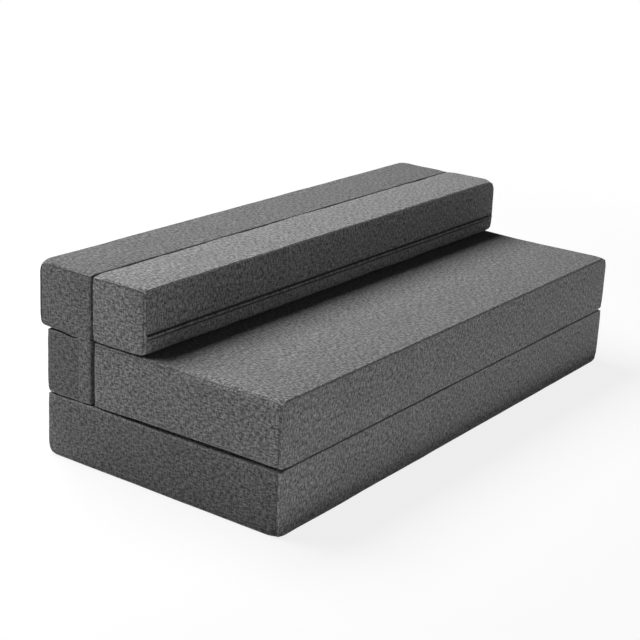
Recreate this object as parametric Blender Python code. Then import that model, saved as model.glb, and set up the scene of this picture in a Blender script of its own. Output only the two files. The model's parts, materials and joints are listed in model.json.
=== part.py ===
# Folding mattress stacked as a low sofa: five foam blocks in zipped covers, joined by cloth hinges
from math import cos, pi, sin

import bmesh
import bpy
from mathutils import Vector

# Blocks, in metres: X runs along the length, the front faces -Y
LENGTH = 1.80
BLOCK_HEIGHT = 0.185
BASE_DEPTH = 0.812
RISER_DEPTH = 0.168
BACK_DEPTH = 0.190
STACK_GAP = 0.004
REST_GAP = 0.0003

# Cushion form: round edges, and faces that draw in towards them over a band
SOFT_RADIUS = 0.014
HINGE_RADIUS = 0.005
END_RADIUS = 0.012
DRAW_BAND = 0.050
DRAW_TOP = 0.0025
DRAW_SIDE = 0.0015
DRAW_END = 0.0020
BAND_SHARES = (0.45, 1.0)

# Covers and cores
COVER_WALL = 0.0016
CORE_GAP = 0.0003
END_SEAM_INSET = 0.016
SEAM_GAP = 0.0003

# Cloth hinges, each folded in half round its axis
HINGE_SETBACK = 0.0002
HINGE_CLOTH = 0.0008
HINGE_OPENING = 0.0010
HINGE_LEAF = 0.012
HINGE_END_INSET = 0.045

# Cloth tabs on the riser's ends
TAB_WIDTH = 0.043
TAB_EDGE_INSET = 0.003
TAB_CLOTH = 0.0015
TAB_GAP = 0.0004

# Concealed zips, each behind a flap in one long face
ZIP_RISE = 0.058
ZIP_END_INSET = 0.016
FLAP_HEIGHT = 0.009
FLAP_CLOTH = 0.0012
FLAP_OPENING = 0.0035
TAPE_GAP = 0.0004
TAPE_CLOTH = 0.0005
TAPE_MARGIN = 0.010
TAPE_STEP = 0.0020
COIL_WIDTH = 0.0020
COIL_THICKNESS = 0.0018
COIL_GAP = 0.0003
CHAIN_END_GAP = 0.004

# Zip sliders
SLIDER_LENGTH = 0.014
SLIDER_WIDTH = 0.008
SLIDER_PLATE = 0.0010
SLIDER_RUNNING_GAP = 0.0003
SLIDER_FLANGE = 0.0008
SLIDER_FLANGE_DROP = 0.0004
SLIDER_WEDGE_WIDTH = 0.0020
SLIDER_WEDGE_LENGTH = 0.003
SLIDER_CROWN_LENGTH = 0.006
SLIDER_CROWN_LEG = 0.0015
SLIDER_CROWN_HOLE = 0.0006
SLIDER_CROWN_BAR = 0.0006

# One overrun serves every cut
CUT_OVERRUN = 0.001

# Steps of a quarter circle on outer, inner and folded shapes
OUTER_STEPS = 2
INNER_STEPS = 1
FOLD_STEPS = 3

# Neighbouring faces that differ by less than one degree are joined into one
FLAT_ANGLE = pi / 180

# Planes that follow from the sizes
SEAT_DEPTH = BASE_DEPTH - RISER_DEPTH - STACK_GAP
OVERHANG = max(BACK_DEPTH - RISER_DEPTH, 0.0)
FRONT_Y = -(BASE_DEPTH + OVERHANG) / 2
SEAT_REAR_Y = FRONT_Y + SEAT_DEPTH
RISER_FRONT_Y = SEAT_REAR_Y + STACK_GAP
BASE_REAR_Y = FRONT_Y + BASE_DEPTH
LAYER_PITCH = BLOCK_HEIGHT + REST_GAP

# Zip layers, as depths under the outer face
SLIDER_TOP = FLAP_CLOTH + SLIDER_RUNNING_GAP
COIL_TOP = SLIDER_TOP + SLIDER_PLATE + SLIDER_RUNNING_GAP
SLIDER_BOTTOM = COIL_TOP + COIL_THICKNESS + SLIDER_RUNNING_GAP + SLIDER_PLATE
GROOVE_FLOOR = SLIDER_BOTTOM + SLIDER_RUNNING_GAP
TAPE_TOP = COVER_WALL + TAPE_GAP
TAPE_MIDDLE = COIL_TOP + (COIL_THICKNESS - TAPE_CLOTH) / 2

# Zip heights above a block's underside
FLAP_TOP = ZIP_RISE - FLAP_OPENING / 2
SLOT_TOP = ZIP_RISE + FLAP_OPENING / 2
FLAP_BOTTOM = FLAP_TOP - FLAP_HEIGHT
SLOT_BOTTOM = FLAP_BOTTOM - SEAM_GAP
CHAIN_RISE = FLAP_TOP + SLIDER_RUNNING_GAP - SLIDER_WEDGE_WIDTH / 2
TAPE_NECK = SLIDER_WIDTH / 2 + SLIDER_RUNNING_GAP
TAPE_REACH = TAPE_NECK + TAPE_STEP + TAPE_MARGIN

# Blocks: front plane, depth, layer, hinge edges and the side of the zip (-1 front, 1 rear)
BLOCKS = {
    "base": (FRONT_Y, BASE_DEPTH, 0, ("front_top", "rear_top"), 1),
    "seat": (FRONT_Y, SEAT_DEPTH, 1, ("front_bottom", "rear_top"), 1),
    "front_back": (SEAT_REAR_Y - BACK_DEPTH, BACK_DEPTH, 2, ("rear_bottom",), -1),
    "riser": (RISER_FRONT_Y, RISER_DEPTH, 1, ("rear_bottom", "front_top"), 1),
    "rear_back": (RISER_FRONT_Y, BACK_DEPTH, 2, ("front_bottom",), 1),
}

# Folds: the block that turns, the block that carries it, the face that the hinge lies in, and its side
FOLDS = {
    "seat": ("base", FRONT_Y, -1),
    "front_back": ("seat", SEAT_REAR_Y, 1),
    "riser": ("base", BASE_REAR_Y, 1),
    "rear_back": ("riser", RISER_FRONT_Y, -1),
}

# Corners of a section, in order seen from +X, as signs in Y and Z
CORNERS = {
    "front_bottom": (-1, -1),
    "rear_bottom": (1, -1),
    "rear_top": (1, 1),
    "front_top": (-1, 1),
}

# Looks: colour, roughness and metallic value
LOOKS = {
    "cover_cloth": ((0.27, 0.27, 0.28, 1.0), 0.95, 0.0),
    "end_cloth": ((0.25, 0.25, 0.26, 1.0), 0.95, 0.0),
    "hinge_cloth": ((0.20, 0.20, 0.21, 1.0), 0.95, 0.0),
    "foam": ((0.80, 0.78, 0.70, 1.0), 0.90, 0.0),
    "zip_tape": ((0.12, 0.12, 0.13, 1.0), 0.85, 0.0),
    "slider_metal": ((0.35, 0.35, 0.36, 1.0), 0.40, 1.0),
}


def clear_scene():
    for obj in list(bpy.data.objects):
        bpy.data.objects.remove(obj, do_unlink=True)


def material(look):
    found = bpy.data.materials.get(look)
    if found:
        return found
    colour, roughness, metallic = LOOKS[look]
    made = bpy.data.materials.new(look)
    made.use_nodes = True
    shader = made.node_tree.nodes["Principled BSDF"]
    shader.inputs["Base Color"].default_value = colour
    shader.inputs["Roughness"].default_value = roughness
    shader.inputs["Metallic"].default_value = metallic
    return made


def add_object(name, mesh_builder, look, home, world):
    mesh = bpy.data.meshes.new(name)
    bmesh.ops.recalc_face_normals(mesh_builder, faces=mesh_builder.faces)
    mesh_builder.to_mesh(mesh)
    mesh_builder.free()
    mesh.materials.append(material(look))
    obj = bpy.data.objects.new(name, mesh)
    bpy.context.scene.collection.objects.link(obj)
    obj.parent = home
    obj.location = Vector(world) - home.matrix_world.translation
    return obj


def add_axis(name, parent, world):
    axis = bpy.data.objects.new(name, None)
    bpy.context.scene.collection.objects.link(axis)
    if parent:
        axis.parent = parent
        axis.location = Vector(world) - parent.matrix_world.translation
    else:
        axis.location = Vector(world)
    bpy.context.view_layer.update()
    return axis


def loft(rings, closed=False):
    builder = bmesh.new()
    loops = [[builder.verts.new(point) for point in ring] for ring in rings]
    pairs = list(zip(loops, loops[1:]))
    if closed:
        pairs.append((loops[-1], loops[0]))
    for first, second in pairs:
        for index in range(len(first)):
            following = (index + 1) % len(first)
            builder.faces.new((first[index], first[following], second[following], second[index]))
    if not closed:
        builder.faces.new(loops[0])
        builder.faces.new(loops[-1])
    return builder


def prism(outline, start, end):
    rings = [[Vector((x, y, z)) for y, z in outline] for x in (start, end)]
    return loft(rings)


def box(low, high):
    outline = [(low[1], low[2]), (high[1], low[2]), (high[1], high[2]), (low[1], high[2])]
    return prism(outline, low[0], high[0])


def quarter(steps):
    return [pi / 2 * step / steps for step in range(steps + 1)]


# A block's size, edge radii and end radius, taken in by an offset under its outer face
def block_form(name, offset):
    _, depth, _, hinge_edges, _ = BLOCKS[name]
    half = Vector((LENGTH / 2 - offset, depth / 2 - offset, BLOCK_HEIGHT / 2 - offset))
    radii = [(HINGE_RADIUS if corner in hinge_edges else SOFT_RADIUS) - offset for corner in CORNERS]
    return half, radii, END_RADIUS - offset


# The closed outline of a block in Y and Z
def section(half, radii, steps, shares):
    bands = [share * DRAW_BAND for share in shares]
    points = []
    for index, (side, level) in enumerate(CORNERS.values()):
        radius = radii[index]
        centre_y = side * (half.y - radius)
        centre_z = level * (half.z - radius)
        for angle in quarter(steps):
            turn = angle + pi * (1 + index / 2)
            points.append((centre_y + radius * cos(turn), centre_z + radius * sin(turn)))
        along_y = index % 2 == 0
        run = 2 * (half.y if along_y else half.z)
        for offset in bands + [run - band for band in reversed(bands)]:
            if along_y:
                points.append((side * (half.y - offset), level * half.z))
            else:
                points.append((side * half.y, level * (half.z - offset)))
    return points


# How full a face is at a distance from its edge: 0 at the edge, 1 past the band
def fullness(distance):
    share = min(max(distance / DRAW_BAND, 0.0), 1.0)
    return 1 - (1 - share) ** 2


# One ring of a block's surface: the outline at a place along X, inset, with the faces drawn in
def ring(half, outline, place, inset):
    points = []
    for y, z in outline:
        y *= 1 - inset / half.y
        z *= 1 - inset / half.z
        end = fullness(half.x - abs(place))
        side = fullness(half.y - abs(y))
        top = fullness(half.z - abs(z))
        points.append(Vector((
            place * (1 - DRAW_END * (1 - side * top) / half.x),
            y * (1 - DRAW_SIDE * (1 - top) / half.y),
            z * (1 - DRAW_TOP * (1 - end * side) / half.z),
        )))
    return points


# Places and insets of the rings from the -X end to the first full section
def end_stations(half, radius, steps, shares):
    stations = [
        (-half.x + radius * (1 - sin(angle)), radius * (1 - cos(angle)))
        for angle in reversed(quarter(steps))
    ]
    return stations + [(-half.x + share * DRAW_BAND, 0.0) for share in shares]


def both_ends(stations):
    return stations + [(-place, inset) for place, inset in reversed(stations)]


def sleeve_builder(name):
    half, radii, radius = block_form(name, 0.0)
    outline = section(half, radii, OUTER_STEPS, BAND_SHARES)
    stations = [(-half.x, END_SEAM_INSET)] + end_stations(half, radius, OUTER_STEPS, BAND_SHARES)
    outer = [ring(half, outline, place, inset) for place, inset in both_ends(stations)]
    half, radii, radius = block_form(name, COVER_WALL)
    outline = section(half, radii, OUTER_STEPS, BAND_SHARES)
    stations = [(-half.x, END_SEAM_INSET - COVER_WALL)]
    stations += end_stations(half, radius, INNER_STEPS, BAND_SHARES[-1:])
    inner = [ring(half, outline, place, inset) for place, inset in reversed(both_ends(stations))]
    return loft(outer + inner, closed=True)


def end_panel_builder(name, end):
    half, radii, _ = block_form(name, 0.0)
    outline = section(half, radii, OUTER_STEPS, BAND_SHARES)
    seam = END_SEAM_INSET + SEAM_GAP
    outer = [ring(half, outline, end * half.x, inset) for inset in (DRAW_BAND, seam)]
    half, radii, _ = block_form(name, COVER_WALL)
    outline = section(half, radii, OUTER_STEPS, BAND_SHARES)
    inner = [ring(half, outline, end * half.x, inset) for inset in (seam - COVER_WALL, DRAW_BAND)]
    return loft(outer + inner)


def core_builder(name):
    half, radii, radius = block_form(name, COVER_WALL + CORE_GAP)
    outline = section(half, radii, INNER_STEPS, BAND_SHARES[-1:])
    stations = [(-half.x, DRAW_BAND)] + end_stations(half, radius, INNER_STEPS, BAND_SHARES[-1:])
    return loft([ring(half, outline, place, inset) for place, inset in both_ends(stations)])


# A point of a zip's section: depth under the long face, and height above the block's underside
def zip_point(name, depth, rise):
    _, block_depth, _, _, side = BLOCKS[name]
    return (side * (block_depth / 2 - depth), rise - BLOCK_HEIGHT / 2)


def zip_box(name, reach, depths, rises):
    first = zip_point(name, depths[0], rises[0])
    second = zip_point(name, depths[1], rises[1])
    low = (-reach, min(first[0], second[0]), min(first[1], second[1]))
    high = (reach, max(first[0], second[0]), max(first[1], second[1]))
    return box(low, high)


def cut(obj, builder, home, world):
    cutter = add_object(obj.name + "_cutter", builder, "foam", home, world)
    cutter.hide_render = True
    cutter.display_type = "WIRE"
    modifier = obj.modifiers.new("zip_cut", "BOOLEAN")
    modifier.object = cutter
    modifier.operation = "DIFFERENCE"
    modifier.solver = "EXACT"


def slot_cutter(name):
    depths = (-CUT_OVERRUN, COVER_WALL + CUT_OVERRUN)
    return zip_box(name, LENGTH / 2 - ZIP_END_INSET, depths, (SLOT_BOTTOM, SLOT_TOP))


def groove_cutter(name):
    reach = LENGTH / 2 - ZIP_END_INSET + SEAM_GAP
    rises = (CHAIN_RISE - TAPE_REACH - SEAM_GAP, CHAIN_RISE + TAPE_REACH + SEAM_GAP)
    return zip_box(name, reach, (-CUT_OVERRUN, GROOVE_FLOOR), rises)


def flap_builder(name):
    reach = LENGTH / 2 - ZIP_END_INSET - SEAM_GAP
    return zip_box(name, reach, (0.0, FLAP_CLOTH), (FLAP_BOTTOM, FLAP_TOP))


# A tape in section: the sewn margin under the cover, a step down, and the coil at the chain's middle
def tape_builder(name, level):
    steps = (
        (TAPE_TOP, TAPE_REACH),
        (TAPE_TOP, TAPE_NECK + TAPE_STEP),
        (TAPE_MIDDLE, TAPE_NECK),
        (TAPE_MIDDLE, COIL_WIDTH),
        (COIL_TOP, COIL_WIDTH),
        (COIL_TOP, COIL_GAP / 2),
        (COIL_TOP + COIL_THICKNESS, COIL_GAP / 2),
        (COIL_TOP + COIL_THICKNESS, COIL_WIDTH),
        (TAPE_MIDDLE + TAPE_CLOTH, COIL_WIDTH),
        (TAPE_MIDDLE + TAPE_CLOTH, TAPE_NECK),
        (TAPE_TOP + TAPE_CLOTH, TAPE_NECK + TAPE_STEP),
        (TAPE_TOP + TAPE_CLOTH, TAPE_REACH),
    )
    outline = [zip_point(name, depth, CHAIN_RISE + level * rise) for depth, rise in steps]
    reach = LENGTH / 2 - ZIP_END_INSET
    return prism(outline, -reach, reach - CHAIN_END_GAP)


# The filled cells of a grid, as one closed body
def cells_builder(xs, ys, zs, filled):
    builder = bmesh.new()
    corners = {}

    def corner(key):
        if key not in corners:
            corners[key] = builder.verts.new((xs[key[0]], ys[key[1]], zs[key[2]]))
        return corners[key]

    for cell in filled:
        for axis in range(3):
            for step in (0, 1):
                beside = list(cell)
                beside[axis] += 1 if step else -1
                if tuple(beside) in filled:
                    continue
                keys = []
                for first, second in ((0, 0), (1, 0), (1, 1), (0, 1)):
                    key = list(cell)
                    key[axis] += step
                    key[(axis + 1) % 3] += first
                    key[(axis + 2) % 3] += second
                    keys.append(tuple(key))
                builder.faces.new([corner(key) for key in keys])
    bmesh.ops.recalc_face_normals(builder, faces=builder.faces)
    bmesh.ops.dissolve_limit(builder, angle_limit=FLAT_ANGLE, verts=builder.verts, edges=builder.edges)
    return builder


# A slider: two plates with flanges, the wedge that parts the chain, and a crown with no pull
def slider_builder(side):
    half = SLIDER_LENGTH / 2
    crown = SLIDER_CROWN_LENGTH / 2
    xs = [-half, -crown, -crown + SLIDER_CROWN_LEG, crown - SLIDER_CROWN_LEG, crown]
    xs += [half - SLIDER_WEDGE_LENGTH, half]
    depths = [SLIDER_TOP - SLIDER_CROWN_HOLE - SLIDER_CROWN_BAR, SLIDER_TOP - SLIDER_CROWN_HOLE]
    depths += [SLIDER_TOP, SLIDER_TOP + SLIDER_PLATE, SLIDER_TOP + SLIDER_PLATE + SLIDER_FLANGE_DROP]
    depths += [SLIDER_BOTTOM - SLIDER_PLATE - SLIDER_FLANGE_DROP, SLIDER_BOTTOM - SLIDER_PLATE]
    depths += [SLIDER_BOTTOM]
    ys = [side * (SLIDER_TOP - depth) for depth in depths]
    edge = SLIDER_WIDTH / 2
    wedge = SLIDER_WEDGE_WIDTH / 2
    zs = [-edge, -edge + SLIDER_FLANGE, -wedge, wedge, edge - SLIDER_FLANGE, edge]
    along = range(len(xs) - 1)
    across = range(len(zs) - 1)
    filled = {(x, layer, z) for x in along for z in across for layer in (2, 6)}
    filled |= {(x, layer, z) for x in along for z in (0, 4) for layer in (3, 5)}
    filled |= {(5, layer, 2) for layer in (3, 4, 5)}
    filled |= {(x, 1, 3) for x in (1, 3)}
    filled |= {(x, 0, 3) for x in (1, 2, 3)}
    return cells_builder(xs, ys, zs, filled)


# A hinge strip in section: two leaves joined by a round fold at the face
def strip_builder(face_y, side):
    outer = HINGE_OPENING / 2 + HINGE_CLOTH
    inner = HINGE_OPENING / 2
    fold_y = face_y - side * outer
    leaf_y = face_y - side * HINGE_LEAF
    turns = [angle - pi / 2 for angle in quarter(FOLD_STEPS)]
    turns += [angle for angle in quarter(FOLD_STEPS)][1:]
    outline = [(leaf_y, -outer)]
    outline += [(fold_y + side * outer * cos(turn), outer * sin(turn)) for turn in turns]
    outline += [(leaf_y, outer), (leaf_y, inner)]
    outline += [(fold_y + side * inner * cos(turn), inner * sin(turn)) for turn in reversed(turns)]
    outline += [(leaf_y, -inner)]
    reach = LENGTH / 2 - HINGE_END_INSET
    return prism(outline, -reach, reach)


# A tab over the riser's end, beside its front edge, following the drawn-in face
def tab_builder(end):
    low = -BLOCK_HEIGHT / 2 + SOFT_RADIUS
    high = BLOCK_HEIGHT / 2 - DRAW_TOP
    rings = []
    for place in (TAB_EDGE_INSET, END_RADIUS, BAND_SHARES[0] * DRAW_BAND, TAB_WIDTH):
        y = place - RISER_DEPTH / 2
        inner = LENGTH / 2 + TAB_GAP - DRAW_END * (1 - fullness(place))
        outer = inner + TAB_CLOTH
        rings.append([Vector((end * x, y, z)) for x, z in (
            (inner, low), (outer, low), (outer, high), (inner, high))])
    return loft(rings)


def block_centre(name):
    front, depth, layer, _, _ = BLOCKS[name]
    return (0.0, front + depth / 2, layer * LAYER_PITCH + BLOCK_HEIGHT / 2)


def fold_axis(name):
    _, face_y, side = FOLDS[name]
    layer = BLOCKS[name][2]
    return (0.0, face_y + side * HINGE_SETBACK, layer * LAYER_PITCH - REST_GAP / 2)


def build_block(name, home):
    world = block_centre(name)
    side = BLOCKS[name][4]
    core = add_object(name + "_core", core_builder(name), "foam", home, world)
    cut(core, groove_cutter(name), home, world)
    sleeve = add_object(name + "_sleeve", sleeve_builder(name), "cover_cloth", home, world)
    cut(sleeve, slot_cutter(name), home, world)
    add_object(name + "_end_left", end_panel_builder(name, -1), "end_cloth", home, world)
    add_object(name + "_end_right", end_panel_builder(name, 1), "end_cloth", home, world)
    add_object(name + "_zip_flap", flap_builder(name), "cover_cloth", home, world)
    add_object(name + "_zip_upper_tape", tape_builder(name, 1), "zip_tape", home, world)
    add_object(name + "_zip_lower_tape", tape_builder(name, -1), "zip_tape", home, world)
    y, z = zip_point(name, SLIDER_TOP, CHAIN_RISE)
    x = LENGTH / 2 - ZIP_END_INSET - SLIDER_LENGTH / 2
    place = Vector(world) + Vector((x, y, z))
    add_object(name + "_zip_slider", slider_builder(side), "slider_metal", home, place)


def build_hinge(name, home):
    _, face_y, side = FOLDS[name]
    axis = fold_axis(name)
    world = (0.0, 0.0, axis[2])
    add_object(name + "_hinge_strip", strip_builder(face_y, side), "hinge_cloth", home, world)


def build():
    clear_scene()
    homes = {"base": add_axis("base_root", None, (0.0, 0.0, 0.0))}
    for name, (carrier, _, _) in FOLDS.items():
        homes[name] = add_axis(name + "_fold_axis", homes[carrier], fold_axis(name))
    for name in BLOCKS:
        build_block(name, homes[name])
    for name, (carrier, _, _) in FOLDS.items():
        build_hinge(name, homes[carrier])
    for word, end in (("left", -1), ("right", 1)):
        world = block_centre("riser")
        add_object("riser_tab_" + word, tab_builder(end), "end_cloth", homes["riser"], world)


build()
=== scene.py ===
import json
import math

import bmesh
import bpy
from mathutils import Matrix, Vector, noise

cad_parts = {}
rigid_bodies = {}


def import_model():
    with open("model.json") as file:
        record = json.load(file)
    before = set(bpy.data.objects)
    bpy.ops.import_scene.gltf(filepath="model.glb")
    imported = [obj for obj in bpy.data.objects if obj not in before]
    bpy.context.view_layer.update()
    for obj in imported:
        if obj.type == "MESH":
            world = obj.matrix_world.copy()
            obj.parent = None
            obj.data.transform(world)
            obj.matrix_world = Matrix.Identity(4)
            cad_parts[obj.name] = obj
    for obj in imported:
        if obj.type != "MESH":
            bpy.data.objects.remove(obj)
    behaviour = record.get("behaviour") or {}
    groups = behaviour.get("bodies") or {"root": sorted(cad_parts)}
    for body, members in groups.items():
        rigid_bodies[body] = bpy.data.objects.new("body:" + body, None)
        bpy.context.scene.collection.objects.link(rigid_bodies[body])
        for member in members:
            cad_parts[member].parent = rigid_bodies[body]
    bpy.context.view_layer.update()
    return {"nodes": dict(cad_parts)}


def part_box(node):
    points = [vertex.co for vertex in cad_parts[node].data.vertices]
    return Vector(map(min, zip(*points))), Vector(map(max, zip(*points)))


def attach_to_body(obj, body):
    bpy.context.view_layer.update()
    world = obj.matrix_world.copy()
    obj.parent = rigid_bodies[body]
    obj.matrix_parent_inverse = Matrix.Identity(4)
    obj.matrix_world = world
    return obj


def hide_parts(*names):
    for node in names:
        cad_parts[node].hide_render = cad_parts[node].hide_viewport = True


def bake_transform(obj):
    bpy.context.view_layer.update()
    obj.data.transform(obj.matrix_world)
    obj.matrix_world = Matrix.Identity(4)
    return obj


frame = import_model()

blockNames = ["base", "seat", "front_back", "riser", "rear_back"]
backNames = ("front_back", "rear_back")
zipSide = {"base": 1, "seat": 1, "front_back": -1, "riser": 1, "rear_back": 1}  # 1 rear, -1 front
onPlane = 1e-5  # metres within which a point lies on a plane
straight = 0.999  # cosine above which an edge runs along an axis
rayStart = 2  # metres from the middle, where rays at the covers start


# Short helpers

def selectOnly(obj):
    bpy.ops.object.select_all(action="DESELECT")
    obj.select_set(True)
    bpy.context.view_layer.objects.active = obj


def applyModifiers(obj):
    selectOnly(obj)
    for modifier in list(obj.modifiers):
        bpy.ops.object.modifier_apply(modifier=modifier.name)


def openMesh(obj, mode="FACE"):
    selectOnly(obj)
    bpy.ops.object.mode_set(mode="EDIT")
    bpy.ops.mesh.select_mode(type=mode)
    bpy.ops.mesh.select_all(action="DESELECT")
    return bmesh.from_edit_mesh(obj.data)


def pick(obj, parts, test):
    bpy.ops.mesh.select_all(action="DESELECT")
    mesh = bmesh.from_edit_mesh(obj.data)
    for part in getattr(mesh, parts):
        part.select_set(bool(test(part)))
    mesh.select_flush_mode()
    bmesh.update_edit_mesh(obj.data)


def closeMesh():
    bpy.ops.object.mode_set(mode="OBJECT")


def cutLevel(level):
    bpy.ops.mesh.bisect(plane_co=(0, 0, level), plane_no=(0, 0, 1))


def nameIt(obj, name):
    obj.name = name
    obj.data.name = name


def applyPlace():
    bpy.ops.object.transform_apply(location=True, rotation=True, scale=True)


def addCube(name, low, high):
    bpy.ops.object.select_all(action="DESELECT")
    low, high = Vector(low), Vector(high)
    bpy.ops.mesh.primitive_cube_add(size=1, location=(low + high) / 2, scale=high - low)
    nameIt(bpy.context.object, name)
    applyPlace()
    return bpy.context.object


def thicken(obj, wall, offset=-1):
    solid = obj.modifiers.new("wall", "SOLIDIFY")
    solid.thickness = wall
    solid.offset = offset
    applyModifiers(obj)


def smooth(obj, angle=50):
    selectOnly(obj)
    bpy.ops.object.shade_smooth_by_angle(angle=math.radians(angle))


def weaveMap(obj):
    openMesh(obj)
    bpy.ops.mesh.select_all(action="SELECT")
    bpy.ops.uv.cube_project(cube_size=1.0, correct_aspect=False)
    closeMesh()
    obj.data.uv_layers[0].name = "weave"


def addAttributes(obj, seams, edges):
    for label, values in (("seam", seams), ("paintedHighlight", edges)):
        layer = obj.data.attributes.new(label, "FLOAT", "POINT")
        layer.data.foreach_set("value", values)


def attach(obj, body, slot, *nodes):
    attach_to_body(obj, body)
    if nodes:
        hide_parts(*nodes)


def alongAxis(edge, axis):
    direction = (edge.verts[1].co - edge.verts[0].co).normalized()
    return abs(direction[axis]) > straight


def ease(value):
    value = min(max(value, 0.0), 1.0)
    return value * value * (3 - 2 * value)


# Materials

def nodeMaterial(name):
    made = bpy.data.materials.new(name)
    made.use_nodes = True
    tree = made.node_tree
    return made, tree, tree.nodes["Principled BSDF"]


def node(tree, kind, **values):
    made = tree.nodes.new(kind)
    for key, value in values.items():
        if key in made.inputs:
            made.inputs[key].default_value = value
        else:
            setattr(made, key, value)
    return made


def join(tree, source, target):
    tree.links.new(source, target)


def mathNode(tree, operation, first, second):
    made = node(tree, "ShaderNodeMath", operation=operation)
    for socket, value in zip(made.inputs, (first, second)):
        if hasattr(value, "is_output"):
            join(tree, value, socket)
        else:
            socket.default_value = value
    return made.outputs[0]


def ramp(tree, factor, stops):
    made = node(tree, "ShaderNodeValToRGB")
    join(tree, factor, made.inputs["Fac"])
    elements = made.color_ramp.elements
    while len(elements) < len(stops):
        elements.new(0.5)
    for element, (place, level) in zip(elements, stops):
        element.position = place
        element.color = (level, level, level, 1)
    return made.outputs["Color"]


def bumpNode(tree, height, strength, distance):
    made = node(tree, "ShaderNodeBump", Strength=strength, Distance=distance)
    join(tree, height, made.inputs["Height"])
    return made


clothLook = {
    "darkYarn": 0.040,  # linear grey of the dark fibres
    "lightYarn": 0.300,  # linear grey of the light fibres
    "darkBlue": 1.01,  # how much bluer than grey each of them is
    "lightBlue": 1.005,
    "threadPitch": 0.0011,  # metres between threads
    # noise patterns: length and width in metres, detail, seed and turn in degrees
    "along": (0.015, 0.0040, 2.0, 3.1, 0),
    "across": (0.0040, 0.015, 2.0, 7.7, 0),
    "blotches": (0.008, 0.008, 2.0, 12.3, 0),
    "clouds": (0.10, 0.10, 2.0, 21.9, 0),
    "creases": (0.060, 0.022, 1.0, 31.7, 35),
    "gathers": (0.007, 0.007, 1.0, 41.3, 0),
    "seedShift": 1.7,
    "noiseRoughness": 0.6,
    "fleckShares": {"along": 0.28, "across": 0.44, "blotches": 0.28},
    "fleckStops": ((0.38, 0.0), (0.46, 0.26), (0.54, 0.62), (0.62, 1.0)),
    "cloudShade": (0.26, 0.87),  # depth of the slow changes of tone, and the tone they start from
    "seamThreadAndShade": 0.62,  # share of the colour lost along a seam: painted shade of the seam's groove, with the thread's own darkness
    "paintedEdgeHighlight": 0.14,  # how much lighter the roundings are painted: a painted highlight
    "creaseBump": (0.22, 0.0030),  # strength and metres
    "weaveBump": (0.55, 0.0011),
    "gatherRelief": 0.8,
    "threadRelief": 0.4,
    "fleckRelief": 2.0,
    "roughness": 0.94,
    "specular": 0.2,
    "sheen": 0.18,
    "sheenRoughness": 0.5,
}


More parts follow.
